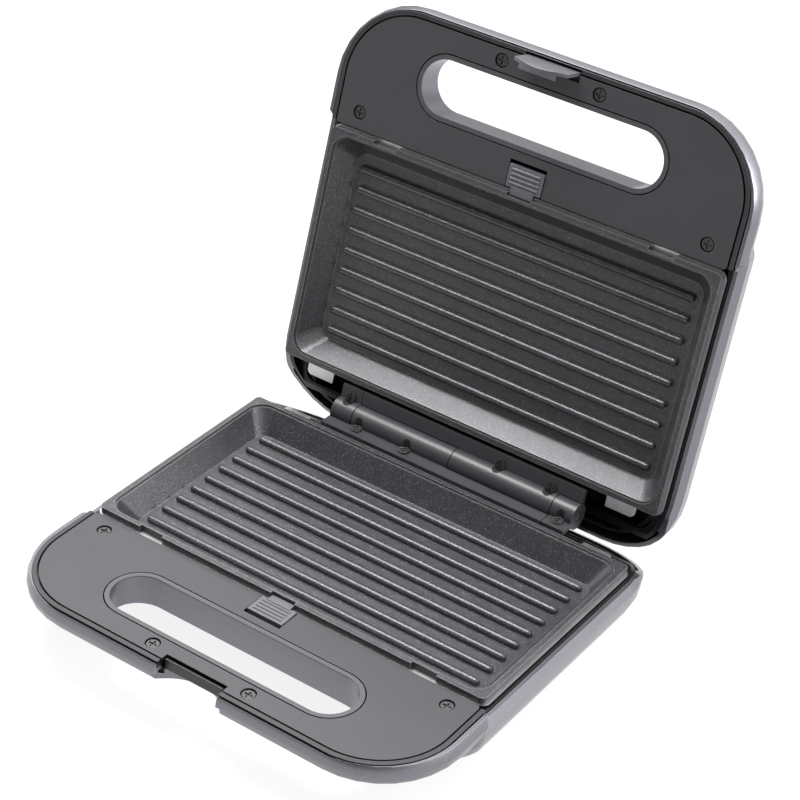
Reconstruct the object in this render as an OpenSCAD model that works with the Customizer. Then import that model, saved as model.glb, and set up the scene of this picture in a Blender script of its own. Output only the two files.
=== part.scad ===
// Panini press: a hinged pair of grill halves with a carry handle, lid open.
//
// Frame: X to the right, Y to the back, Z up, in mm. The handles face -Y and the feet stand on Z = 0.
// Most modules are drawn once for a half lying face up: the hinge axis is the X axis, "reach" is the
// distance from it towards the handle (-Y) and "depth" is the distance below the parting plane (-Z).
// in_base() and in_lid() put such a half in its place.

/* [Body] */
// Full width of each half
body_width = 232; // [200:1:260]
// Reach of the handle's front edge from the hinge axis
front_reach = 205.2; // [190:0.1:230]
// Distance of the rear wall behind the hinge axis
rear_reach = 17; // [14:0.1:22]
// Depth from the parting plane to the flat outer face
body_depth = 36.5; // [32:0.1:44]
// Height of the feet below the base
foot_height = 3.5; // [2:0.1:8]
// Angle that the lid stands open at
open_angle = 105.4; // [90:0.1:110]
// Thickness of the outer shells
shell_wall = 2.4; // [1.8:0.1:3.2]
// Radius of the front corners, seen from above
front_corner = 43; // [30:0.5:46]
// Radius of the rear corners, seen from above
rear_corner = 40; // [28:0.5:46]
// Radius from the side walls to the flat outer face
side_round = 25.7; // [18:0.1:28]

/* [Handle zone] */
// Depth of the inner cover's face
cover_depth = 3.6; // [2.6:0.1:5]
// Thickness of the inner cover
cover_thick = 2.4; // [1.8:0.1:3]
// Width of the rim band's face
rim_width = 2.2; // [1.4:0.1:3]
// Gap between the inner cover and the rim band
rim_gap = 0.9; // [0.6:0.1:2.2]
// Half length of the handle opening
opening_half = 66.5; // [50:0.5:76]
// Reach of the handle opening's rear side
opening_rear = 159; // [157:0.1:164]
// Width of the handle opening from rear to front
opening_width = 27.4; // [22:0.1:29]
// Wall around the handle opening
opening_wall = 2.3; // [1.8:0.1:2.6]

/* [Grill plates] */
// Full width of a grill plate
plate_width = 218.2; // [190:0.1:222]
// Reach of the plate's rear edge
plate_rear = 15.9; // [15.4:0.1:18]
// Plate size from rear to front
plate_length = 120.9; // [110:0.1:121.5]
// Depth of the plate's rim
plate_rim = 1; // [0.6:0.1:1.6]
// Depth of the cavity floor
plate_floor = 13; // [10:0.1:14]
// Number of ribs
rib_count = 9; // [5:1:9]
// Distance between ribs
rib_pitch = 10.66; // [8:0.01:12]
// Radius of a rib's round top
rib_radius = 2; // [1.4:0.1:2.6]
// Height of a rib above the cavity floor
rib_height = 2.8; // [2:0.1:3.6]
// Full length of a rib over its round ends
rib_length = 189.8; // [160:0.1:192]

/* [Hinge] */
// Radius of the hinge barrel
barrel_radius = 6.65; // [6:0.05:7]
// Radius of the hinge pin
pin_radius = 2; // [1.5:0.1:2.6]
// Length of a short knuckle
short_knuckle = 12.25; // [10:0.05:16]
// Length of a long knuckle
long_knuckle = 58.15; // [48:0.05:66]
// Gap between knuckles
knuckle_gap = 0.5; // [0.3:0.05:1]

/* [Latch and buttons] */
// Half width of the latch plate
latch_half = 14.5; // [12:0.1:16]
// How far the latch reaches past the parting plane at its middle
latch_past = 12.4; // [11.6:0.1:13]
// Half width of a release button
button_half = 9.6; // [8:0.1:11]
// Free travel of a release button
button_travel = 1.8; // [1:0.1:2.4]
// Length of a release button from rear to front
button_length = 11.1; // [9:0.1:12]
// Free play around the moving plastic pieces
play = 0.6; // [0.4:0.05:0.8]

/* [Hidden] */
$fn = 64;
hull_fn = 32;
half_width = body_width / 2;
eps = 0.02;
level_thick = 0.2;
over = 1;
plate_front = plate_rear + plate_length;
tub_front = plate_front + 15.2;
tub_upright = body_depth - side_round;
rear_round = 14;
front_round = 12;
round_step = 15;
rest_height = body_depth + foot_height;
back_reach = body_depth * sin(open_angle) - (tub_front - front_round) * cos(open_angle);
axis_y = (front_reach - back_reach) / 2;

// Handle zone, from the outside inwards
shell_lip_depth = cover_depth + 0.8;
shell_lip_inset = 1.6;
seam = 0.6;
rim_inset = 4;
rim_half = half_width - rim_inset;
rim_corner = front_corner - rim_inset;
rim_front = front_reach - 2;
rim_rear = plate_front + 2.5;
cover_rear = plate_front + 1.7;
cover_half = rim_half - rim_width - rim_gap;
cover_front = rim_front - rim_width - rim_gap;
flange_depth = cover_depth + cover_thick;
flange_thick = 1.4;
flange_inset = 7;
bridge_half = 32;
ledge_thick = 1.6;
ledge_inset = 3;
handle_bottom_front = 14.8;
handle_bottom_rear = 21.5;
handle_rear = plate_front + 5.2;
opening_front = opening_rear + opening_width;
opening_mid = (opening_rear + opening_front) / 2;
bridge_rear = opening_front + opening_wall + 0.5;

// Cover screws: beside the plate and beside the latch
screw_spots = [[96.9, plate_front + 9.9], [26.7, 194.6]];
screw_shank = 1.5;
screw_head = 2.9;
screw_head_thick = 0.9;
recess_radius = 3.6;
recess_depth = 1.5;
cross_long = 4.2;
cross_wide = 1;
cross_deep = 0.7;
boss_radius = 3.2;
screw_slack = 0.05;

// Plate zone, from the outside inwards
plate_half = plate_width / 2;
plate_mid = plate_rear + plate_length / 2;
tub_lip_depth = 6.7;
tub_lip_inset = 3;
tub_inner_inset = 4.4;
tub_inner_rear = rear_reach - 3.2;
tray_gap = 0.3;
tray_half = half_width - tub_inner_inset - tray_gap;
tray_rear = tub_inner_rear - tray_gap;
tray_front = plate_front + 4.2;
tray_wall = 1.9;
tray_top = 6.1;
tray_shelf = 13;
tray_shelf_thick = 2;
tray_floor = 24;
tray_base = 26;
pan_margin = 7;
pan_wall = 2;
pan_rear = -8;
pan_corner = rear_corner - 12;
sheet = 0.6;
skirt_depth = 4.4;
skirt_margin = 1.1;
step_depth = tray_shelf - sheet;
plate_thick = 2;
plate_skin = 2.3;
wall_run = 8.5;
lip_width = 2.6;
lip_step = 1;
floor_corner = 6;
plate_rear_corner = 2;
plate_front_corner = 3;
heater_radius = 3.2;
heater_depth = 19.6;
heater_spread = 62;
heater_bend_radius = 27;
heater_end_radius = 2.4;

// Hinge
hinge_flange_top = 0.6;
hinge_flange_low = 3.2;
hinge_flange_front = 13.6;
hinge_bracket_rear = 4.5;
hinge_screw_reach = 8.3;
leaf_clear = 0.4;
running_fit = 0.05;
long_start = knuckle_gap / 2;
short_start = long_start + long_knuckle + knuckle_gap;
hinge_end = short_start + short_knuckle;
hinge_screw_spots = [-24.5, -53.5, 65];
hinge_screw_top = -0.3;

// Latch, drawn in the lid's half; past the parting plane its depth is negative
latch_pin_reach = 196.9;
latch_pin_depth = 9;
latch_boss = 2.7;
latch_pin_radius = 1.5;
latch_inner = 199.6;
latch_outer = 201.4;
latch_front_room = 202.5;
latch_foot = 11;
latch_hook = 2.5;
latch_curve = 25.2;
latch_slot_low = 13.6;
cover_notch = 196.6;
catch_top = 4.2;
catch_low = 9.6;
catch_front = 199.2;
catch_rear = 198;
catch_half = 16;
catch_foot_rear = 190;
notch_half = 17;
scoop_reach = 213.3;
scoop_radius = 20.8;

// Release buttons
pad_rear = cover_rear + 0.4;
pad_top = 2.5;
bar_rise = 0.6;
bar_margin = 1.8;
tongue_top = 2.7;
tongue_thick = 1.4;
tongue_reach = 3.2;
slider_low = 8;
slider_half = button_half + 2.4;
tongue_half = 6.2;

// Feet, clips and what is inside
foot_spots = [[93, plate_front - 5.8], [84, 14]];
foot_radius = 8.5;
foot_seat = body_depth - 4;
tray_screw_spots = [[plate_half - 21.1, plate_rear + 28.1], [plate_half - 21.1, plate_front - 26.8]];
clip_inner = 80.5;
clip_outer = 96.5;
clip_front = 14.2;
clip_rear = 8.6;
clip_corner = 3;
clip_top = 5.2;
clip_thick = 1.2;
gland_spot = [60, 28.8];
gland_inside = 8.6;
gland_length = 7.2;
gland_radius = 4.2;
lens_spots = [-9, 9];
lens_reach = plate_front - 18.8;
lens_radius = 3.2;

// ---------- Placing and outlines ----------

module in_base() {
    translate([0, axis_y, rest_height]) children();
}

module in_lid() {
    translate([0, axis_y, rest_height]) rotate([-open_angle, 0, 0]) mirror([0, 0, 1]) children();
}

// A prism of the outline below it, from one depth to another
module deep(top, low) {
    translate([0, 0, -low]) linear_extrude(low - top) children();
}

// Moves a piece to a place given as half width, reach and depth
module at(x, reach, depth) {
    translate([x, -reach, -depth]) children();
}

module both_sides() {
    children();
    mirror([1, 0, 0]) children();
}

// Outline with its own corner radii at the rear and at the front
module outline(half, rear, front, rear_r, front_r) {
    translate([-half, front_r - front]) square([2 * half, front - front_r - rear - rear_r]);
    translate([rear_r - half, -rear - rear_r]) square([2 * half - 2 * rear_r, rear_r]);
    translate([front_r - half, -front]) square([2 * half - 2 * front_r, front_r]);
    both_sides() translate([half - rear_r, -rear - rear_r]) intersection() {
        circle(rear_r);
        square(rear_r);
    }
    both_sides() translate([half - front_r, front_r - front]) intersection() {
        circle(front_r);
        translate([0, -front_r]) square(front_r);
    }
}

// Outline with round ends, for the handle opening
module slot_outline(half, width) {
    translate([0, -opening_mid]) {
        square([2 * half - width, width], center = true);
        both_sides() translate([half - width / 2, 0]) circle(width / 2);
    }
}

// A thin level of a rounded body, to be joined to other levels
module level(depth, half, rear, front, rear_r, front_r) {
    both_sides() at(half - rear_r, rear + rear_r, depth)
        cylinder(r = rear_r, h = level_thick, $fn = hull_fn);
    both_sides() at(half - front_r, front - front_r, depth)
        cylinder(r = front_r, h = level_thick, $fn = hull_fn);
}

// ---------- Outer bodies ----------

// The deep part around the plate, made smaller by the given wall
module tub(wall) {
    hull() {
        for (a = [0:round_step:90]) {
            level(
                tub_upright + (side_round - wall) * sin(a),
                half_width - side_round + (side_round - wall) * cos(a),
                rear_round - rear_reach - (rear_round - wall) * cos(a),
                tub_front - front_round + (front_round - wall) * cos(a),
                rear_corner - wall - (1 - cos(a)) * (rear_corner - wall) * 0.6,
                8 - wall
            );
        }
        if (wall == 0) {
            level(tub_lip_depth - over, half_width - tub_lip_inset, 1 - rear_reach, tub_front,
                rear_corner - 2, 6);
        }
    }
}

// One level of the flat part, as far inside its widest outline as the given inset
module handle_level(depth, inset) {
    level(depth, half_width - inset, handle_rear, front_reach - inset, 1, front_corner - inset);
}

// The flat part with the handle, made smaller by the given wall
module handle_body(wall) {
    intersection() {
        hull() {
            handle_level(9, wall);
            handle_level(12 - wall / 2, wall + 0.5);
            handle_level(14 - wall, wall + 2);
            handle_level(handle_bottom_front - wall, wall + 5.3);
            level(handle_bottom_rear - wall, half_width - wall - 5, handle_rear, handle_rear + 4, 1, 1);
            if (wall == 0) {
                handle_level(shell_lip_depth, shell_lip_inset);
                handle_level(6.4, 0.6);
            }
        }
        at(-body_width, 2 * front_reach, body_depth)
            cube([2 * body_width, 2 * front_reach - rim_rear, body_depth + over]);
    }
}

// What lies behind the hinge and would meet the other half: seen from the side, then spread across the width
module rear_cut(back) {
    rotate([90, 0, -90]) linear_extrude(body_width + 2 * over, center = true) polygon([
        [16, over], [16, -tub_lip_depth], [9, -8.8], [2, -12.2], [-6, -16.8], [-rear_reach, -22.6 - back],
        [-rear_reach - 4, -24.6 - back], [-rear_reach - 4, over]
    ]);
}

module screw_boss(spot, top, low) {
    both_sides() at(spot[0], spot[1], low) cylinder(r = boss_radius, h = low - top);
}

module screw_hole(spot, top, low) {
    both_sides() at(spot[0], spot[1], low) cylinder(r = screw_shank + screw_slack, h = low - top);
}

module shell_cavity() {
    deep(-over, flange_depth + flange_thick)
        outline(rim_half + seam, rim_rear, rim_front + seam, 1, front_corner - 2.4);
    deep(flange_depth, 10)
        outline(rim_half - ledge_inset, rim_rear, rim_front - ledge_inset, 1, front_corner - 6);
    deep(-over, tub_upright + 0.7)
        outline(half_width - tub_inner_inset, -tub_inner_rear, tub_front - 6, rear_corner - 4.4, 4);
    difference() {
        handle_body(shell_wall);
        deep(0, flange_depth + flange_thick + ledge_thick) square(3 * body_width, center = true);
    }
    tub(shell_wall);
}

// One outer shell; its children are further bosses, which are kept inside its outer surface
module shell_half() {
    difference() {
        intersection() {
            union() {
                handle_body(0);
                tub(0);
                deep(cover_depth, shell_lip_depth + over)
                    slot_outline(opening_half + opening_wall, opening_width + 2 * opening_wall);
            }
            union() {
                difference() {
                    deep(0, rest_height) square(3 * body_width, center = true);
                    shell_cavity();
                }
                deep(cover_depth, body_depth)
                    slot_outline(opening_half + opening_wall, opening_width + 2 * opening_wall);
                for (spot = screw_spots) {
                    screw_boss(spot, flange_depth, body_depth);
                }
                for (spot = tray_screw_spots) {
                    screw_boss(spot, tray_base, rest_height);
                }
                children();
            }
        }
        deep(-over, rest_height) slot_outline(opening_half, opening_width);
        for (spot = screw_spots) {
            screw_hole(spot, flange_depth - over, handle_bottom_front - shell_wall + 0.6);
        }
        for (spot = tray_screw_spots) {
            screw_hole(spot, tray_base - over, body_depth - shell_wall - 0.5);
        }
        deep(-over, tub_lip_depth) translate([-body_width, -rim_rear]) square([2 * body_width, 200]);
        rear_cut(0);
    }
}

// ---------- Pieces that both halves have ----------

// The U shaped band around the inner cover, with the hidden flange that the cover lies on
module rim_band() {
    deep(cover_depth, flange_depth + flange_thick) difference() {
        outline(rim_half, rim_rear, rim_front, 1, rim_corner);
        outline(rim_half - rim_width, rim_rear - 2, rim_front - rim_width, 1, rim_corner - rim_width);
    }
    deep(flange_depth, flange_depth + flange_thick) difference() {
        outline(rim_half - rim_width / 2, rim_rear + 2, rim_front - rim_width / 2, 1, front_corner - 4);
        difference() {
            translate([0, 2 * over])
                outline(rim_half - flange_inset, rim_rear - 2, rim_front - ledge_inset, 1, front_corner - 10);
            translate([-bridge_half, -cover_front]) square([2 * bridge_half, cover_front - bridge_rear]);
        }
        for (spot = screw_spots) {
            both_sides() translate([spot[0], -spot[1]]) circle(boss_radius + 0.3);
        }
    }
}

module inner_cover() {
    difference() {
        deep(cover_depth, flange_depth)
            outline(cover_half, cover_rear, cover_front, 2, rim_corner - rim_width - rim_gap);
        deep(0, 10)
            slot_outline(opening_half + opening_wall + play, opening_width + 2 * opening_wall + 2 * play);
        deep(0, 10) translate([-button_half - play, -pad_rear - button_length - button_travel - play / 2])
            square([2 * button_half + 2 * play, button_length + button_travel + over + play]);
        for (spot = screw_spots) {
            both_sides() at(spot[0], spot[1], cover_depth + recess_depth) cylinder(r = recess_radius, h = 5);
            screw_hole(spot, 0, 10);
        }
    }
}

// A cross recess screw lying head up, with its head's top at the origin
module cross_screw(length) {
    difference() {
        union() {
            translate([0, 0, -screw_head_thick]) cylinder(r = screw_head, h = screw_head_thick);
            translate([0, 0, -length]) cylinder(r = screw_shank, h = length - screw_head_thick / 2);
        }
        for (turn = [0, 90]) {
            rotate(turn) cube([cross_long, cross_wide, 2 * cross_deep], center = true);
        }
    }
}

module cover_screws() {
    for (spot = screw_spots) {
        both_sides() at(spot[0], spot[1], cover_depth + recess_depth - screw_head_thick) cross_screw(8);
    }
}

module tray_screws() {
    for (spot = tray_screw_spots) {
        both_sides() at(spot[0], spot[1], tray_floor - sheet - screw_head_thick) cross_screw(9.6);
    }
}

// The black moulded tray inside the deep part, with the brackets that this half's hinge pieces stand on
module tray(side) {
    pan_half = plate_half - pan_margin + pan_wall;
    difference() {
        union() {
            deep(tray_top, tray_shelf + tray_shelf_thick) difference() {
                outline(tray_half, -tray_rear, tray_front, rear_corner - 4.7, 3);
                outline(tray_half - tray_wall, tray_wall - tray_rear, tray_front - tray_wall,
                    rear_corner - 6.6, 2);
            }
            deep(tray_shelf, tray_shelf + tray_shelf_thick) difference() {
                outline(tray_half - over, over - tray_rear, tray_front - over, rear_corner - 5.7, 2);
                outline(pan_half - pan_wall, 2, plate_front - 5, 6, 6);
            }
            deep(tray_shelf + over, tray_base) difference() {
                outline(pan_half, pan_rear, plate_front - 3, pan_corner, 8);
                outline(pan_half - pan_wall, pan_rear + pan_wall, plate_front - 5, pan_corner - pan_wall, 6);
            }
            deep(tray_floor, tray_base)
                outline(pan_half - over, pan_rear + over, plate_front - 4, pan_corner - over, 7);
            translate([-hinge_end, -hinge_flange_front, -tray_base])
                cube([2 * hinge_end, hinge_flange_front - hinge_bracket_rear, tray_base - hinge_flange_low]);
        }
        rotate([0, 90, 0]) cylinder(r = barrel_radius + leaf_clear, h = body_width, center = true);
        for (spot = tray_screw_spots) {
            screw_hole(spot, tray_floor - over, tray_base + over);
        }
        for (x = hinge_screws(side)) {
            at(x, hinge_screw_reach, 14) cylinder(r = screw_shank + screw_slack, h = 14);
        }
        heater_holes(tray_base + over);
        at(-button_half - 4, tray_front + over, flange_depth + 3) cube([2 * button_half + 8, 6, 6]);
        rear_cut(0.3);
    }
}

// The bright sheet that the heater lies in; its thin lip shows below the plate's rim
module reflector() {
    wall_half = plate_half - 0.9;
    pan_half = plate_half - pan_margin - 0.4;
    difference() {
        union() {
            deep(skirt_depth, skirt_depth + sheet) ring_outline(skirt_margin, 1.5, 5);
            deep(skirt_depth + sheet / 2, tray_shelf) ring_outline(-0.9, 1.5, 4);
            deep(step_depth, tray_shelf) difference() {
                outline(wall_half - 0.2, plate_rear + 1.1, plate_front - 1.1, 3.8, 3.8);
                outline(pan_half - sheet, plate_rear + 8, plate_front - 8, 6, 6);
            }
            deep(step_depth + sheet / 2, tray_floor) difference() {
                outline(pan_half, plate_rear + 7.4, plate_front - 7.4, 6.6, 6.6);
                outline(pan_half - sheet, plate_rear + 8, plate_front - 8, 6, 6);
            }
            deep(tray_floor - sheet, tray_floor)
                outline(pan_half - 0.2, plate_rear + 7.6, plate_front - 7.6, 6.4, 6.4);
        }
        for (spot = tray_screw_spots) {
            screw_hole(spot, tray_floor - 2, tray_floor + over);
        }
        heater_holes(tray_floor + over);
    }
}

// A ring that follows the plate's outline at a margin, one sheet wide or as wide as the lip
module ring_outline(margin, lip, corner) {
    difference() {
        outline(plate_half + margin, plate_rear - margin, plate_front + margin, corner, corner);
        outline(plate_half - lip, plate_rear + lip, plate_front - lip, corner - 2, corner - 2);
    }
}

// Tubular heater: two long runs, a bend on the right and two ends that go down through the tray
module heater() {
    at(0, plate_mid, heater_depth) {
        for (way = [-1, 1]) {
            translate([0, way * heater_bend_radius, 0]) rotate([0, 90, 0])
                cylinder(r = heater_radius, h = 2 * heater_spread, center = true);
        }
        translate([heater_spread, 0, 0]) rotate(-90) rotate_extrude(angle = 180)
            translate([heater_bend_radius, 0]) circle(heater_radius);
    }
    for (way = [-1, 1]) {
        at(3 - heater_spread, plate_mid + way * heater_bend_radius, heater_depth + 11)
            cylinder(r = heater_end_radius, h = 11);
    }
}

module heater_holes(low) {
    for (way = [-1, 1]) {
        at(3 - heater_spread, plate_mid + way * heater_bend_radius, low)
            cylinder(r = heater_end_radius + 1, h = 4);
    }
}

// Thermostat disc with two tabs, fixed to the underside of the tray
module thermostat() {
    at(0, 62, tray_base + 5) cylinder(r = 8, h = 5);
    at(-3, 57, tray_base + 7) cube([6, 10, 2.5]);
}

// One level of the plate's pan, from its rim down to the flat floor
module pan_level(depth, margin, corner) {
    level(depth, plate_half - margin, plate_rear + margin, plate_front - margin, corner, corner);
}

// Grill plate: a flat rim with a step, sloped walls and half round ribs with round ends
module grill_plate() {
    notch_spots = [-77.3, 0, 77.3];
    difference() {
        union() {
            difference() {
                deep(plate_rim, plate_rim + plate_skin + lip_step)
                    outline(plate_half, plate_rear, plate_front, plate_rear_corner, plate_front_corner);
                deep(0, plate_rim + lip_step)
                    outline(plate_half - lip_width, plate_rear + lip_width, plate_front - lip_width, 9, 9);
            }
            hull() {
                pan_level(plate_rim + plate_skin, 1.4, 4);
                pan_level(plate_floor + plate_thick, wall_run + 2.2, floor_corner);
            }
        }
        hull() {
            pan_level(plate_rim + lip_step - eps, lip_width + 1, 8);
            pan_level(plate_floor, lip_width + wall_run, floor_corner);
        }
        for (x = notch_spots) {
            at(x - 6.75, plate_front + over, plate_rim + 6) cube([13.5, over + 1.6, 8]);
        }
    }
    for (i = [0:rib_count - 1]) {
        at(0, plate_mid - 1.1 + (i - (rib_count - 1) / 2) * rib_pitch, plate_floor) rib();
    }
}

// A rib along X that stands on the cavity floor, with a round top and round ends
module rib() {
    straight = rib_length - 2 * rib_radius;
    crown = rib_height - rib_radius;
    sunk = plate_thick / 2;
    difference() {
        union() {
            translate([0, 0, crown]) rotate([0, 90, 0]) cylinder(r = rib_radius, h = straight, center = true);
            both_sides() translate([straight / 2, 0, crown]) sphere(rib_radius);
            translate([-straight / 2, -rib_radius, -sunk]) cube([straight, 2 * rib_radius, crown + sunk]);
            both_sides() translate([straight / 2, 0, -sunk]) cylinder(r = rib_radius, h = crown + sunk);
        }
        translate([-rib_length, -rib_length / 2, -rib_length - sunk])
            cube([2 * rib_length, rib_length, rib_length]);
    }
}

// Sheet steel catches behind the plate's rear edge, each with a leg down to the tray
module clips() {
    both_sides() {
        deep(clip_top, clip_top + clip_thick) difference() {
            translate([clip_inner, -clip_front]) square([clip_outer - clip_inner, clip_front - clip_rear]);
            translate([clip_outer - clip_corner, -clip_rear - clip_corner]) difference() {
                square([clip_corner + over, clip_corner + over]);
                circle(clip_corner);
            }
        }
        at(clip_inner, clip_front, tray_floor)
            cube([clip_outer - clip_inner - clip_corner, clip_thick, tray_floor - clip_top - clip_thick / 2]);
    }
}

// Release button: a pad with four raised bars, a wider slider under the cover and a tongue at the plate
module release_button() {
    pad_front = pad_rear + button_length;
    bar_pitch = button_length / 5;
    union() {
        at(-button_half, pad_front, slider_low)
            cube([2 * button_half, button_length, slider_low - pad_top - bar_rise]);
        at(-slider_half, pad_front - 0.6, slider_low) cube([2 * slider_half, button_length - 1.2, 1.6]);
        at(-tongue_half, pad_rear + over, tongue_top + tongue_thick)
            cube([2 * tongue_half, over + tongue_reach, tongue_thick]);
        for (i = [1:4]) {
            at(0, pad_rear + i * bar_pitch, pad_top + bar_rise) rotate([0, 90, 0])
                cylinder(r = bar_rise, h = 2 * button_half - 2 * bar_margin, center = true);
        }
    }
}

// ---------- Hinge ----------

// Side 1 is the base, with its long knuckle on the left; side -1 is the lid
function hinge_spans(side) = side > 0
    ? [[-long_start - long_knuckle, -long_start], [short_start, hinge_end]]
    : [[long_start, long_start + long_knuckle], [-hinge_end, -short_start]];

function hinge_screws(side) = [for (x = hinge_screw_spots) side * x];

// Spreads a shape drawn from the side over a span across the width
module across(span) {
    translate([(span[0] + span[1]) / 2, 0, 0]) rotate([90, 0, -90])
        linear_extrude(abs(span[1] - span[0]), center = true) children();
}

// The flat of a hinge leaf, drawn from the side, starting at a radius from the axis
module hinge_flange(start) {
    difference() {
        translate([3, -hinge_flange_low])
            square([hinge_flange_front - 3, hinge_flange_low - hinge_flange_top]);
        circle(start);
    }
}

// One knuckle with its screw flange; the long one's flange also runs beside the other half's knuckles
module knuckle(side, piece) {
    span = hinge_spans(side)[piece];
    difference() {
        union() {
            across(span) {
                difference() {
                    circle(barrel_radius);
                    circle(pin_radius + running_fit);
                }
                hinge_flange(barrel_radius - 0.4);
            }
            if (piece == 0) {
                across([-side * hinge_end, side * (eps - long_start - long_knuckle)])
                    hinge_flange(barrel_radius + leaf_clear);
                across([-side * (long_start + eps), side * (short_start - leaf_clear)])
                    hinge_flange(barrel_radius + leaf_clear);
            }
        }
        for (x = hinge_screws(side)) {
            at(x, hinge_screw_reach, hinge_flange_top) cylinder(r = screw_head + 0.4, h = 8);
            at(x, hinge_screw_reach, 6) cylinder(r = screw_shank + screw_slack, h = 8);
        }
    }
}

module hinge_screw_set(side) {
    for (x = hinge_screws(side)) {
        at(x, hinge_screw_reach, hinge_screw_top) cross_screw(12);
    }
}

// ---------- Latch ----------

// Latch plate with its hook and pin boss, drawn from the side and spread across its width
module latch_plate() {
    intersection() {
        difference() {
            rotate([90, 0, -90]) linear_extrude(2 * latch_half, center = true) difference() {
                union() {
                    polygon([
                        [latch_inner, -latch_foot], [latch_outer - 0.6, -latch_foot], [latch_outer, -8],
                        [latch_outer, latch_past - 2], [latch_outer - 0.8, latch_past],
                        [latch_inner - 2, latch_past], [latch_inner - 2.6, latch_past - latch_hook],
                        [latch_inner, latch_past - latch_hook]
                    ]);
                    translate([latch_pin_reach, -latch_pin_depth]) circle(latch_boss);
                    translate([latch_pin_reach, -latch_pin_depth - 2])
                        square([latch_inner - latch_pin_reach + 0.5, 4]);
                }
                translate([latch_pin_reach, -latch_pin_depth]) circle(latch_pin_radius + running_fit);
            }
            both_sides() at(latch_half - 4.5, latch_inner, 0) translate([0, 0, 6]) cube([10, 4, 10]);
        }
        at(0, latch_outer + 10, latch_curve - latch_past) rotate([-90, 0, 0])
            cylinder(r = latch_curve, h = 30);
    }
}

// Room for the latch in the lid's rim band, inner cover and pin supports
module latch_slot() {
    room = latch_half + play;
    at(-room, latch_front_room, latch_slot_low) cube([2 * room, latch_front_room - cover_notch, 30]);
    at(-room, latch_front_room, latch_slot_low)
        cube([2 * room, latch_front_room - latch_pin_reach + latch_boss + 0.5, latch_slot_low - flange_depth]);
    at(0, latch_pin_reach, latch_pin_depth) rotate([0, 90, 0])
        cylinder(r = latch_pin_radius + running_fit, h = 2 * latch_half + 7, center = true);
}

// Room for the catch and for a thumb in the base's shell, rim band and inner cover
module catch_room() {
    at(-notch_half, front_reach + over, catch_low) cube([2 * notch_half, front_reach + over - cover_notch, 30]);
    at(0, scoop_reach, 30) cylinder(r = scoop_radius, h = 30 - catch_low + eps);
}

// ---------- Base ----------

module base_shell() {
    color([0.36, 0.36, 0.39]) in_base() difference() {
        shell_half() {
            for (spot = foot_spots) {
                both_sides() at(spot[0], spot[1], rest_height)
                    cylinder(r = foot_radius + 1.8, h = rest_height - foot_seat + 1.6);
            }
            at(-notch_half - 3, catch_front + 0.4, latch_slot_low)
                cube([2 * notch_half + 6, 10.6, latch_slot_low - catch_low]);
        }
        catch_room();
        for (spot = foot_spots) {
            both_sides() at(spot[0], spot[1], rest_height) rotate(40)
                cylinder(r = foot_radius, h = rest_height - foot_seat);
        }
        at(gland_spot[0], -5, gland_spot[1]) rotate([-90, 0, 0]) cylinder(r = gland_radius, h = 20);
    }
}

module base_tray() {
    color([0.03, 0.03, 0.035]) in_base() tray(1);
}

module base_rim_band() {
    color([0.2, 0.2, 0.22]) in_base() difference() {
        rim_band();
        catch_room();
    }
}

module base_cover() {
    color([0.25, 0.25, 0.26]) in_base() difference() {
        inner_cover();
        catch_room();
    }
}

module base_reflector() {
    color([0.7, 0.7, 0.7]) in_base() reflector();
}

module base_heater() {
    color([0.4, 0.38, 0.36]) in_base() heater();
}

module base_plate() {
    color([0.13, 0.13, 0.14]) in_base() grill_plate();
}

module base_clips() {
    color([0.8, 0.8, 0.8]) in_base() clips();
}

module base_button() {
    color([0.4, 0.4, 0.42]) in_base() release_button();
}

module base_cover_screws() {
    color([0.5, 0.5, 0.5]) in_base() cover_screws();
}

module base_tray_screws() {
    color([0.5, 0.5, 0.5]) in_base() tray_screws();
}

module base_thermostat() {
    color([0.75, 0.72, 0.65]) in_base() thermostat();
}

module base_feet() {
    color([0.04, 0.04, 0.04]) in_base() for (spot = foot_spots) {
        both_sides() at(spot[0], spot[1], rest_height) {
            cylinder(r1 = foot_radius - 1, r2 = foot_radius - running_fit, h = 1);
            translate([0, 0, 1]) cylinder(r = foot_radius - running_fit, h = rest_height - foot_seat - 1);
        }
    }
}

// The bar that the latch hooks under, with a foot that lies below the rim band's flange
module latch_catch() {
    color([0.4, 0.4, 0.42]) in_base() union() {
        at(-catch_half, catch_front, catch_low)
            cube([2 * catch_half, catch_front - catch_rear, catch_low - catch_top]);
        at(-catch_half, catch_front, catch_low)
            cube([2 * catch_half, catch_front - catch_foot_rear, catch_low - flange_depth - flange_thick]);
    }
}

module cord_gland() {
    color([0.04, 0.04, 0.04]) in_base() at(gland_spot[0], -gland_inside, gland_spot[1]) rotate([-90, 0, 0])
        difference() {
            cylinder(r = gland_radius - running_fit, h = gland_length);
            translate([0, 0, -over]) cylinder(r = 2.6, h = gland_length + 2 * over);
        }
}

module terminal_block() {
    color([0.85, 0.84, 0.8]) in_base() difference() {
        at(34, 34, tray_base + 6) cube([22, 12, 6]);
        for (i = [0:2]) {
            at(38.5 + i * 6.5, 35, tray_base + 3) rotate([-90, 0, 0]) cylinder(r = 1.4, h = 14);
        }
    }
}

module thermal_fuse() {
    color([0.8, 0.8, 0.75]) in_base() at(-40, 62, tray_base + 2.2) rotate([0, 90, 0]) {
        cylinder(r = 2.2, h = 16);
        translate([0, 0, -6]) cylinder(r = 0.6, h = 28);
    }
}

module hinge_long_base() {
    color([0.14, 0.14, 0.15]) in_base() knuckle(1, 0);
}

module hinge_short_base() {
    color([0.14, 0.14, 0.15]) in_base() knuckle(1, 1);
}

module hinge_pin() {
    color([0.6, 0.6, 0.6]) in_base() rotate([0, 90, 0])
        cylinder(r = pin_radius, h = 2 * hinge_end - 0.6, center = true);
}

module hinge_base_screws() {
    color([0.5, 0.5, 0.5]) in_base() hinge_screw_set(1);
}

// ---------- Lid ----------

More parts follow.
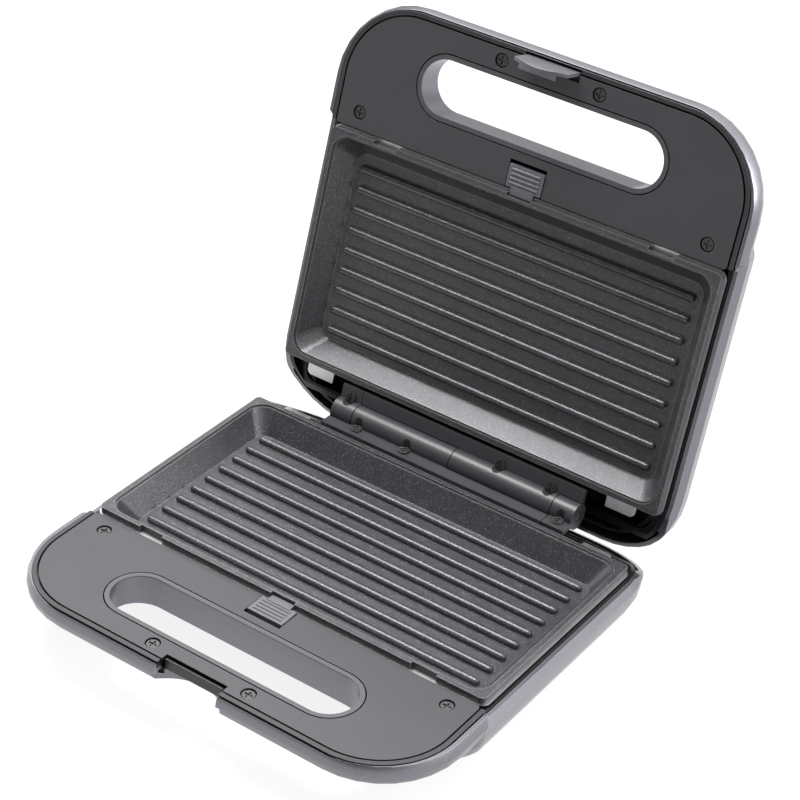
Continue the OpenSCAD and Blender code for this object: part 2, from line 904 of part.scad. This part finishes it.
module hinge_long_lid() {
    color([0.14, 0.14, 0.15]) in_lid() knuckle(-1, 0);
}

module hinge_short_lid() {
    color([0.14, 0.14, 0.15]) in_lid() knuckle(-1, 1);
}

module hinge_lid_screws() {
    color([0.5, 0.5, 0.5]) in_lid() hinge_screw_set(-1);
}

module lid_shell() {
    color([0.36, 0.36, 0.39]) in_lid() difference() {
        shell_half() {
            both_sides() at(latch_half + play, latch_front_room + 1, latch_slot_low)
                cube([4, latch_front_room - catch_foot_rear, latch_slot_low - flange_depth - flange_thick]);
        }
        latch_slot();
        for (x = lens_spots) {
            at(x, lens_reach, rest_height) cylinder(r = lens_radius + running_fit, h = 8);
        }
    }
}

module lid_tray() {
    color([0.03, 0.03, 0.035]) in_lid() tray(-1);
}

module lid_rim_band() {
    color([0.2, 0.2, 0.22]) in_lid() difference() {
        rim_band();
        latch_slot();
    }
}

module lid_cover() {
    color([0.25, 0.25, 0.26]) in_lid() difference() {
        inner_cover();
        latch_slot();
    }
}

module lid_reflector() {
    color([0.7, 0.7, 0.7]) in_lid() reflector();
}

module lid_heater() {
    color([0.4, 0.38, 0.36]) in_lid() heater();
}

module lid_plate() {
    color([0.13, 0.13, 0.14]) in_lid() grill_plate();
}

module lid_clips() {
    color([0.8, 0.8, 0.8]) in_lid() clips();
}

module lid_button() {
    color([0.4, 0.4, 0.42]) in_lid() release_button();
}

module lid_cover_screws() {
    color([0.5, 0.5, 0.5]) in_lid() cover_screws();
}

module lid_tray_screws() {
    color([0.5, 0.5, 0.5]) in_lid() tray_screws();
}

module lid_thermostat() {
    color([0.75, 0.72, 0.65]) in_lid() thermostat();
}

module latch() {
    color([0.4, 0.4, 0.42]) in_lid() latch_plate();
}

module latch_pin() {
    color([0.6, 0.6, 0.6]) in_lid() at(0, latch_pin_reach, latch_pin_depth) rotate([0, 90, 0])
        cylinder(r = latch_pin_radius, h = 2 * latch_half + 6, center = true);
}

// Indicator lens with a domed outer face and a collar behind the shell
module indicator_lens(x) {
    at(x, lens_reach, body_depth + 0.4) cylinder(r = lens_radius, h = shell_wall + 0.4);
    at(x, lens_reach, body_depth - shell_wall) cylinder(r = lens_radius + 1.2, h = 1.2);
}

module power_lens() {
    color([0.6, 0.05, 0.04]) in_lid() indicator_lens(lens_spots[0]);
}

module ready_lens() {
    color([0.05, 0.5, 0.1]) in_lid() indicator_lens(lens_spots[1]);
}

module lamp_holder() {
    color([0.1, 0.3, 0.15]) in_lid() at(-16, lens_reach + 8, body_depth - shell_wall - 1.2) cube([32, 16, 1.6]);
}

base_shell();
base_tray();
base_rim_band();
base_cover();
base_reflector();
base_heater();
base_plate();
base_clips();
base_button();
base_cover_screws();
base_tray_screws();
base_thermostat();
base_feet();
latch_catch();
cord_gland();
terminal_block();
thermal_fuse();
hinge_long_base();
hinge_short_base();
hinge_pin();
hinge_base_screws();
hinge_long_lid();
hinge_short_lid();
hinge_lid_screws();
lid_shell();
lid_tray();
lid_rim_band();
lid_cover();
lid_reflector();
lid_heater();
lid_plate();
lid_clips();
lid_button();
lid_cover_screws();
lid_tray_screws();
lid_thermostat();
latch();
latch_pin();
power_lens();
ready_lens();
lamp_holder();
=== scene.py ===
import math

import bpy
from mathutils import Matrix, Vector


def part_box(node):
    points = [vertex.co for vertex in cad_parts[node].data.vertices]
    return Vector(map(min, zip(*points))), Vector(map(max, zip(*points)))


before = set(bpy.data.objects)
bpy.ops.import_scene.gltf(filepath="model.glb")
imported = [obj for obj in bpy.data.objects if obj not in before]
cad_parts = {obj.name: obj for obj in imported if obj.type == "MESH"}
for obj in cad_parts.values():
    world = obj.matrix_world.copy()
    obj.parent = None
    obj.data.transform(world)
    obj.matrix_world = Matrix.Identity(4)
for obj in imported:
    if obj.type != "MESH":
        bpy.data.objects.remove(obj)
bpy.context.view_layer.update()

MM = 0.001
HALVES = ("base", "lid")

# The hinge axis is the line that both halves are laid out from
pin_low, pin_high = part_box("hinge_pin")
AXIS = (pin_low + pin_high) / 2
OPEN_ANGLE = math.radians(105.4)


# Millimetres in a half's own layout: the handle opening's straight run, middle, end radius and ring,
# and the depths of the inner cover's face and of the recessed faces below it that are painted nearly black
# as shade
OPENING_RUN = 52.8
OPENING_MIDDLE = 172.7
OPENING_RADIUS = 13.7
RING_RADIUS = 16.0
COVER_DEPTH = 3.6
SHADED_DEPTH = COVER_DEPTH + 0.5


# ---------- Shader maths ----------


class Flow:
    """A socket that Python's operators can be used on."""

    def __init__(self, finish, socket):
        self.finish = finish
        self.socket = socket

    def maths(self, operation, other=0.0, swap=False):
        sides = [other, self] if swap else [self, other]
        return self.finish.node("ShaderNodeMath", {"operation": operation}, sides)

    def __add__(self, other):
        return self.maths("ADD", other)

    def __radd__(self, other):
        return self.maths("ADD", other, swap=True)

    def __sub__(self, other):
        return self.maths("SUBTRACT", other)

    def __rsub__(self, other):
        return self.maths("SUBTRACT", other, swap=True)

    def __mul__(self, other):
        return self.maths("MULTIPLY", other)

    def __rmul__(self, other):
        return self.maths("MULTIPLY", other, swap=True)

    def __abs__(self):
        return self.maths("ABSOLUTE")

    def bigger(self, other):
        return self.maths("MAXIMUM", other)

    def root(self):
        return self.maths("SQRT")

    def ramp(self, start, end, low=0.0, high=1.0):
        """Goes smoothly from low to high while the value goes from start to end."""
        settings = {"interpolation_type": "SMOOTHSTEP"}
        return self.finish.node("ShaderNodeMapRange", settings, [self, start, end, low, high])


class Wiring:
    """A node tree that nodes are added to."""

    def __init__(self, tree):
        self.tree = tree

    def node(self, kind, settings=None, inputs=(), output=0):
        """Adds a node: its settings first, then the values or links of its sockets."""
        made = self.tree.nodes.new(kind)
        for name, value in (settings or {}).items():
            setattr(made, name, value)
        pairs = inputs.items() if isinstance(inputs, dict) else enumerate(inputs)
        for place, value in pairs:
            self.join(made.inputs[place], value)
        return Flow(self, made.outputs[output])

    def join(self, socket, value):
        if isinstance(value, Flow):
            self.tree.links.new(value.socket, socket)
        elif value is not None:
            socket.default_value = value

    def split(self, vector):
        """The three numbers of a vector."""
        first = self.node("ShaderNodeSeparateXYZ", None, [vector])
        return [Flow(self, socket) for socket in first.socket.node.outputs]


class Finish(Wiring):
    """A procedural material with one Principled shader."""

    def __init__(self, name, **constants):
        self.material = bpy.data.materials.new(name)
        self.material.use_nodes = True
        super().__init__(self.material.node_tree)
        self.shader = self.tree.nodes["Principled BSDF"]
        for socket, value in constants.items():
            self.shader.inputs[socket.replace("_", " ")].default_value = value

    def drive(self, **inputs):
        for socket, value in inputs.items():
            self.join(self.shader.inputs[socket.replace("_", " ")], value)

    def place(self):
        return self.node("ShaderNodeTexCoord", output="Object")

    def stretched(self, scale):
        return self.node("ShaderNodeMapping", None, {"Vector": self.place(), "Scale": scale})

    def noise(self, size, detail=3.0, rough=0.55, where=None):
        """Noise from 0 to 1 whose lumps are about as wide as size, in millimetres."""
        inputs = {
            "Vector": where or self.place(),
            "Scale": 1 / (size * MM),
            "Detail": detail,
            "Roughness": rough,
        }
        return self.node("ShaderNodeTexNoise", None, inputs)

    def cells(self, size, output="Distance"):
        inputs = {"Vector": self.place(), "Scale": 1 / (size * MM)}
        return self.node("ShaderNodeTexVoronoi", None, inputs, output)

    def mix(self, mask, first, second):
        """A colour from first, where the mask is 0, to second, where it is 1."""
        settings = {"data_type": "RGBA", "clamp_factor": True}
        return self.node("ShaderNodeMix", settings, {0: mask, 6: first, 7: second}, output=2)

    def shade(self, grey, tint=(1.0, 1.0, 1.0)):
        """A fixed colour from one brightness and a tint."""
        return (grey * tint[0], grey * tint[1], grey * tint[2], 1.0)

    def relief(self, height, depth, strength=1.0):
        """Sets the bump from a height of 0 to 1 that is depth millimetres high."""
        inputs = {"Strength": strength, "Distance": depth * MM, "Height": height}
        self.join(self.shader.inputs["Normal"], self.node("ShaderNodeBump", None, inputs))

    def edges(self, width):
        """About 1 along edges and 0 elsewhere, from how far a rounded normal leans from the real one."""
        soft = self.node("ShaderNodeBevel", {"samples": 4}, {"Radius": width * MM})
        hard = self.node("ShaderNodeNewGeometry", output="Normal")
        lean = self.node("ShaderNodeVectorMath", {"operation": "DOT_PRODUCT"}, [soft, hard], output="Value")
        return lean.ramp(0.995, 0.85)

    def half_place(self, half):
        """Across, reach and depth in millimetres, as a half is laid out."""
        x, y, z = self.split(self.place())
        across = x * 1000.0
        back = (y - AXIS.y) * 1000.0
        up = (z - AXIS.z) * 1000.0
        if half == "base":
            return across, -1.0 * back, -1.0 * up
        turn_sin, turn_cos = math.sin(OPEN_ANGLE), math.cos(OPEN_ANGLE)
        return across, up * turn_sin - back * turn_cos, back * turn_sin + up * turn_cos


COOL = (0.97, 0.955, 1.07)


def shell_paint(half):
    """Metallic paint on the shell, with a dark, less metallic ring band around the handle opening and
    painted shade in the gap around that ring.
    """
    paint = Finish(half + "_shell_paint", Metallic=0.85, Coat_Weight=0.2, Coat_Roughness=0.12)
    flakes = paint.cells(0.22, "Color")
    flake = paint.node("ShaderNodeSeparateColor", None, [flakes])
    clouds = paint.noise(38, 2)
    base = paint.mix(flake * 0.6 + clouds * 0.4, paint.shade(0.16, COOL), paint.shade(0.22, COOL))
    worn = paint.edges(0.5)
    base = paint.mix(worn * 0.45, base, paint.shade(0.55))
    across, reach, depth = paint.half_place(half)
    run = (abs(across) - OPENING_RUN).bigger(0.0)
    width = reach - OPENING_MIDDLE
    from_middle = (run * run + width * width).root()
    ring = from_middle.ramp(RING_RADIUS + 0.9, RING_RADIUS + 0.4)
    ring = ring * depth.ramp(COVER_DEPTH + 0.7, COVER_DEPTH + 0.4)
    ring = ring * from_middle.ramp(OPENING_RADIUS - 0.5, OPENING_RADIUS)
    # Painted shade: the ring's outer wall, down in the gap around it, is painted nearly black
    gap_shade = from_middle.ramp(RING_RADIUS - 0.4, RING_RADIUS - 0.1)
    gap_shade = gap_shade * from_middle.ramp(RING_RADIUS + 3.0, RING_RADIUS + 2.6)
    gap_shade = gap_shade * depth.ramp(COVER_DEPTH + 0.15, COVER_DEPTH + 0.6) * depth.ramp(9.0, 8.0)
    base = paint.mix(ring, base, paint.shade(0.065, COOL))
    paint.drive(
        Base_Color=paint.mix(gap_shade, base, paint.shade(0.003)),
        Metallic=0.85 - ring * 0.8,
        Roughness=0.25 + flake * 0.07 + clouds * 0.05 + ring * 0.14,
    )
    paint.relief(paint.noise(0.5, 2) + clouds * 2.0, 0.012)
    return paint.material


def satin_plastic(name, dark, light, rough, half=None):
    """Moulded plastic with a fine grain, slightly uneven colour and rubbed edges.

    Where a half is given, its faces deeper than the shaded depth are painted nearly black as painted shade
    in recesses and gaps.
    """
    plastic = Finish(name, Specular_IOR_Level=0.5)
    fine = plastic.noise(0.35, 3)
    patches = plastic.noise(24, 3)
    tone = patches * 0.7 + fine * 0.3
    base = plastic.mix(tone, plastic.shade(dark, COOL), plastic.shade(light, COOL))
    rubbed = plastic.edges(0.35)
    base = plastic.mix(rubbed * 0.5, base, plastic.shade(light * 1.7, COOL))
    # Painted shade: faces sunk below the cover face, in recesses and gaps, are painted nearly black
    if half:
        depth = plastic.half_place(half)[2]
        base = plastic.mix(depth.ramp(SHADED_DEPTH - 0.35, SHADED_DEPTH + 0.2), base, plastic.shade(0.003))
    plastic.drive(Base_Color=base, Roughness=rough + fine * 0.1 - rubbed * 0.08 + patches * 0.05)
    plastic.relief(fine, 0.03)
    return plastic.material


def non_stick_coating():
    """Dark coating with pale specks over cast metal."""
    coat = Finish("non_stick_coating", Specular_IOR_Level=0.85)
    specks = coat.cells(0.75).ramp(0.42, 0.12) * coat.noise(1.1, 1).ramp(0.44, 0.60)
    mottle = coat.noise(9, 4)
    base = coat.mix(mottle, coat.shade(0.028, COOL), coat.shade(0.056, COOL))
    base = coat.mix(specks * 0.7, base, coat.shade(0.30, COOL))
    worn = coat.edges(0.5)
    coat.drive(
        Base_Color=coat.mix(worn * 0.75, base, coat.shade(0.42)),
        Metallic=0.25 + worn * 0.3,
        Roughness=0.22 + coat.noise(0.4, 2) * 0.14 + mottle * 0.05,
    )
    coat.relief(coat.noise(0.5, 3), 0.11)
    return coat.material


def bare_metal(name, grey, rough, tint=(1.0, 1.0, 1.0), lines=(1.0, 14.0, 14.0), dull=0.6):
    """Sheet, wire or turned metal with drawn lines, dull patches and bright edges."""
    metal = Finish(name, Metallic=1.0)
    drawn = metal.noise(2.5, 3, where=metal.stretched(lines))
    patches = metal.noise(11, 4)
    base = metal.mix(patches, metal.shade(grey * dull, tint), metal.shade(grey, tint))
    bright = metal.edges(0.25)
    metal.drive(
        Base_Color=metal.mix(bright * 0.6, base, metal.shade(min(1.0, grey * 1.3))),
        Roughness=rough + drawn * 0.14 + patches * 0.08,
    )
    metal.relief(drawn, 0.02)
    return metal.material


def foot_rubber():
    rubber = Finish("foot_rubber", Specular_IOR_Level=0.35)
    dust = rubber.noise(3, 4)
    rubber.drive(
        Base_Color=rubber.mix(dust, rubber.shade(0.012), rubber.shade(0.030)),
        Roughness=0.62 + dust * 0.2,
    )
    rubber.relief(rubber.noise(0.5, 3), 0.06)
    return rubber.material


def heater_sheath():
    """Steel tube browned by heat."""
    sheath = Finish("heater_sheath", Metallic=0.9)
    heat = sheath.noise(14, 4)
    sheath.drive(
        Base_Color=sheath.mix(heat, (0.17, 0.13, 0.11, 1.0), (0.38, 0.35, 0.33, 1.0)),
        Roughness=0.38 + heat * 0.2,
    )
    sheath.relief(sheath.noise(0.6, 3), 0.03)
    return sheath.material


def glazed_ceramic():
    ceramic = Finish("glazed_ceramic", Coat_Weight=0.2)
    tone = ceramic.noise(4, 4)
    ceramic.drive(
        Base_Color=ceramic.mix(tone, (0.66, 0.64, 0.58, 1.0), (0.80, 0.79, 0.74, 1.0)),
        Roughness=0.4 + tone * 0.15,
    )
    ceramic.relief(ceramic.noise(0.7, 3), 0.03)
    return ceramic.material


def lamp_lens(name, deep_colour, bright_colour):
    """Glossy coloured plastic with a slightly uneven colour."""
    lens = Finish(name, Coat_Weight=0.8, Coat_Roughness=0.05)
    haze = lens.noise(1.4, 2)
    lens.drive(Base_Color=lens.mix(haze, deep_colour, bright_colour), Roughness=0.12 + haze * 0.08)
    lens.relief(lens.noise(0.8, 1), 0.03)
    return lens.material


PALE_STEEL = (1.0, 1.0, 1.02)

# The finish of each kind of slot; the ones that differ between the halves have the half's name first
finishes = {
    "tray": satin_plastic("black_tray_plastic", 0.001, 0.002, 0.35),
    "button": satin_plastic("button_plastic", 0.095, 0.13, 0.34),
    "latch": satin_plastic("latch_plastic", 0.085, 0.11, 0.30),
    "knuckle": satin_plastic("hinge_plastic", 0.034, 0.048, 0.28),
    "reflector": bare_metal("reflector_sheet", 0.72, 0.24, PALE_STEEL),
    "clip": bare_metal("clip_steel", 0.80, 0.20, PALE_STEEL),
    "screw": bare_metal("blackened_screw_steel", 0.13, 0.28, PALE_STEEL, lines=(6.0, 6.0, 6.0)),
    "pin": bare_metal("pin_steel", 0.62, 0.20, PALE_STEEL, lines=(14.0, 1.0, 1.0)),
    "thermostat": bare_metal("thermostat_can", 0.62, 0.32, (1.0, 0.99, 0.95)),
    "heater": heater_sheath(),
    "coating": non_stick_coating(),
    "rubber": foot_rubber(),
    "ceramic": glazed_ceramic(),
    "red_lens": lamp_lens("red_lens_plastic", (0.30, 0.008, 0.006, 1.0), (0.62, 0.03, 0.02, 1.0)),
    "green_lens": lamp_lens("green_lens_plastic", (0.01, 0.22, 0.04, 1.0), (0.04, 0.48, 0.10, 1.0)),
}
for half in HALVES:
    finishes[half + "_shell"] = shell_paint(half)
    finishes[half + "_cover"] = satin_plastic(half + "_cover_plastic", 0.040, 0.052, 0.34, half)
    finishes[half + "_rim"] = satin_plastic(half + "_rim_plastic", 0.026, 0.038, 0.24, half)


# ---------- Edges and finishes of the carried-over pieces ----------

EDGE_SIZES = {"shell": 0.35, "rim": 0.25, "cover": 0.25, "button": 0.35, "latch": 0.35, "coating": 0.45}
SMALL_EDGE = 0.12
SAME_PLACE = 0.002
FLAT_ANGLE = math.radians(0.6)
EDGE_ANGLE = math.radians(28)


def soften(piece, width):
    """Joins the faces of a piece, rounds its edges and shades its curved faces smoothly."""
    weld = piece.modifiers.new("join_faces", "WELD")
    weld.merge_threshold = SAME_PLACE * MM
    flat = piece.modifiers.new("flat_faces", "DECIMATE")
    flat.decimate_type = "DISSOLVE"
    flat.angle_limit = FLAT_ANGLE
    bevel = piece.modifiers.new("edge_rounding", "BEVEL")
    bevel.width = width * MM
    bevel.segments = 2
    bevel.limit_method = "ANGLE"
    bevel.angle_limit = EDGE_ANGLE
    bevel.use_clamp_overlap = True
    bevel.harden_normals = False
    normals = piece.modifiers.new("shading", "WEIGHTED_NORMAL")
    normals.keep_sharp = True
    normals.weight = 60


def dress(name, piece):
    """Gives a carried-over piece its finish and its rounded edges; the catch matches the rim band."""
    half = "lid" if name.startswith("lid") else "base"
    for slot in piece.material_slots:
        kind = "rim" if name == "latch_catch" else slot.material.name.split(".")[0]
        slot.material = finishes.get(half + "_" + kind) or finishes[kind]
    for face in piece.data.polygons:
        face.use_smooth = True
    soften(piece, EDGE_SIZES.get(kind, SMALL_EDGE))


for name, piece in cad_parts.items():
    dress(name, piece)


# ---------- Camera, lights and floor ----------

VIEW_FROM = Vector((0.5016, -0.7479, 0.7130))
VIEW_AT = Vector((0.0316, -0.0336, 0.1411))
VIEW_ROLL = math.radians(3.87)
LENS_LENGTH = 107.8
SENSOR_WIDTH = 36.0
FLOOR_REACH = 4.0


def make_camera():
    lens = bpy.data.cameras.new("camera")
    lens.lens = LENS_LENGTH
    lens.sensor_width = SENSOR_WIDTH
    camera = bpy.data.objects.new("camera", lens)
    bpy.context.scene.collection.objects.link(camera)
    forward = (VIEW_AT - VIEW_FROM).normalized()
    side = forward.cross(Vector((0, 0, 1))).normalized()
    up = side.cross(forward)
    right = side * math.cos(VIEW_ROLL) + up * math.sin(VIEW_ROLL)
    top = up * math.cos(VIEW_ROLL) - side * math.sin(VIEW_ROLL)
    turn = Matrix((right, top, -forward)).transposed().to_4x4()
    camera.matrix_world = Matrix.Translation(VIEW_FROM) @ turn
    bpy.context.scene.camera = camera


def soft_box(name, place, size, power):
    """An area light that faces the middle of the object."""
    light = bpy.data.lights.new(name, "AREA")
    light.shape = "RECTANGLE"
    light.size, light.size_y = size
    light.energy = power
    lamp = bpy.data.objects.new(name, light)
    bpy.context.scene.collection.objects.link(lamp)
    lamp.location = place
    lamp.rotation_euler = (VIEW_AT - Vector(place)).to_track_quat("-Z", "Y").to_euler()


def make_floor():
    """A pale paper floor that gives off light, so that it stays pale under the object."""
    mesh = bpy.data.meshes.new("floor")
    side = FLOOR_REACH
    corners = [(-side, -side, 0), (side, -side, 0), (side, side, 0), (-side, side, 0)]
    mesh.from_pydata(corners, [], [(0, 1, 2, 3)])
    floor = bpy.data.objects.new("floor", mesh)
    bpy.context.scene.collection.objects.link(floor)
    paper = Finish("floor_paper", Roughness=0.9, Specular_IOR_Level=0.0, Emission_Strength=0.88)
    fibres = paper.noise(60, 2)
    paper.drive(
        Base_Color=paper.mix(fibres, paper.shade(0.15), paper.shade(0.17)),
        Emission_Color=paper.mix(fibres, paper.shade(0.96), paper.shade(0.98)),
    )
    mesh.materials.append(paper.material)


def make_studio():
    """A pale room, bright above and on the right and dim in front of the object, with three soft boxes."""
    world = bpy.data.worlds.new("studio")
    world.use_nodes = True
    room = Wiring(world.node_tree)
    right, back, up = room.split(room.node("ShaderNodeTexCoord", output="Generated"))
    from_above = up.ramp(0.05, 0.85, 0.0, 1.9)
    from_right = right.ramp(0.25, 0.85, 0.0, 1.5)
    away_from_front = back.ramp(-0.75, 0.30, 0.14, 1.0)
    surround = world.node_tree.nodes["Background"]
    surround.inputs["Color"].default_value = (1.0, 1.0, 1.0, 1.0)
    room.join(surround.inputs["Strength"], (0.36 + from_above + from_right) * away_from_front)
    bpy.context.scene.world = world
    soft_box("top_light", (-0.45, 0.12, 1.3), (0.6, 0.45), 17)
    soft_box("left_light", (-1.5, -0.2, 0.8), (0.4, 1.0), 4)
    soft_box("right_light", (1.4, 0.5, 0.7), (0.4, 1.0), 12)


make_camera()
make_studio()
make_floor()
bpy.context.scene.view_settings.view_transform = "Standard"
